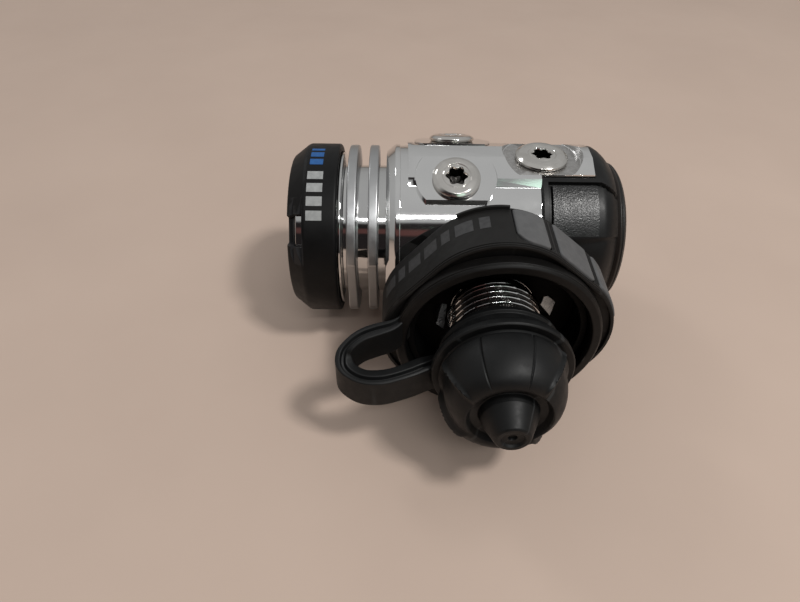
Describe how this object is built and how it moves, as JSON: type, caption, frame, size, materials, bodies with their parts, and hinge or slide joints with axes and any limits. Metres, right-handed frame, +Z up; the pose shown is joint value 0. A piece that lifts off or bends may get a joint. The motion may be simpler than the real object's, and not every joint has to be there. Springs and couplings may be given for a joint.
{
  "type": "scuba regulator first stage",
  "caption": "Diaphragm scuba regulator first stage with plugged ports, a handwheel thread connector and a rubber cover on a strap.",
  "frame": {"origin": "centre of the bounding box, at its bottom, where the set lies on a table", "axes": "+Z up, +X along the regulator's body from the environmental cap to the end cap, -Y along the cylinder connector"},
  "size_m": [0.088, 0.0956, 0.0559],
  "materials": {
    "chrome_body": "polished chrome plate, faintly grained",
    "satin_chrome": "bright neck with duller satin fins",
    "plug_chrome": "polished chrome plate",
    "black_plastic": "fine moulded texture",
    "end_rubber": "smooth, slightly brown",
    "black_rubber": "moulded, slightly shiny on its edges",
    "grey_grip": "matt, soft",
    "soft_rubber": "smooth",
    "spring_steel": "bright",
    "plain_brass": "machined",
    "sintered_bronze": "porous",
    "inner_plastic": "moulded"
  },
  "bodies": {
    "regulator": {"regulator_body": "chrome_body", "environmental_cap": "black_plastic", "diaphragm_clamp": "satin_chrome", "outer_diaphragm": "soft_rubber", "spring_adjuster": "plain_brass", "main_diaphragm": "soft_rubber", "main_spring": "spring_steel", "valve_seat": "plain_brass", "seat_oring": "soft_rubber", "valve_spring": "spring_steel", "balance_plug": "plain_brass", "balance_oring": "soft_rubber", "balance_plug_oring": "soft_rubber", "body_protector": "black_plastic", "protector_end_cap": "end_rubber", "low_port_plug_front_upper": "plug_chrome", "low_port_plug_front_lower": "plug_chrome", "low_port_plug_back_upper": "plug_chrome", "low_port_plug_back_lower": "plug_chrome", "high_port_plug_upper": "plug_chrome", "high_port_plug_lower": "plug_chrome", "port_orings": "soft_rubber", "din_stem": "chrome_body", "stem_oring": "soft_rubber", "din_face_oring": "soft_rubber", "din_filter": "sintered_bronze", "filter_circlip": "spring_steel"},
    "sensing": {"pressure_transmitter": "inner_plastic", "spring_pad": "plain_brass", "valve_lifter": "spring_steel"},
    "poppet": {"valve_poppet": "inner_plastic"},
    "wheel": {"handwheel": "black_plastic", "handwheel_grips": "grey_grip", "din_retainer": "chrome_body", "protector_ring": "black_rubber", "cap_strap": "black_rubber"},
    "cover": {"protector_cover": "black_rubber"}
  },
  "joints": [
    {"name": "handwheel_spin", "type": "hinge", "parent": "regulator", "child": "wheel", "pos_m": [0.0084, -0.0113, 0.02795], "axis": [0, -1, 0], "continuous": true},
    {"name": "cover_pull", "type": "slide", "parent": "wheel", "child": "cover", "axis": [0, -1, 0], "range_m": [0, 0.012], "deforming": ["cap_strap"]},
    {"name": "diaphragm_travel", "type": "slide", "parent": "regulator", "child": "sensing", "axis": [1, 0, 0], "range_m": [0, 0.0006], "stiffness_N_per_m": 4000, "springref_m": -0.0003, "deforming": ["main_spring", "main_diaphragm", "outer_diaphragm"]},
    {"name": "poppet_travel", "type": "slide", "parent": "regulator", "child": "poppet", "axis": [1, 0, 0], "range_m": [0, 0.0006], "deforming": ["valve_spring"]}
  ],
  "couplings": [
    {"joint": "poppet_travel", "follows": "diaphragm_travel", "ratio": 1}
  ]
}
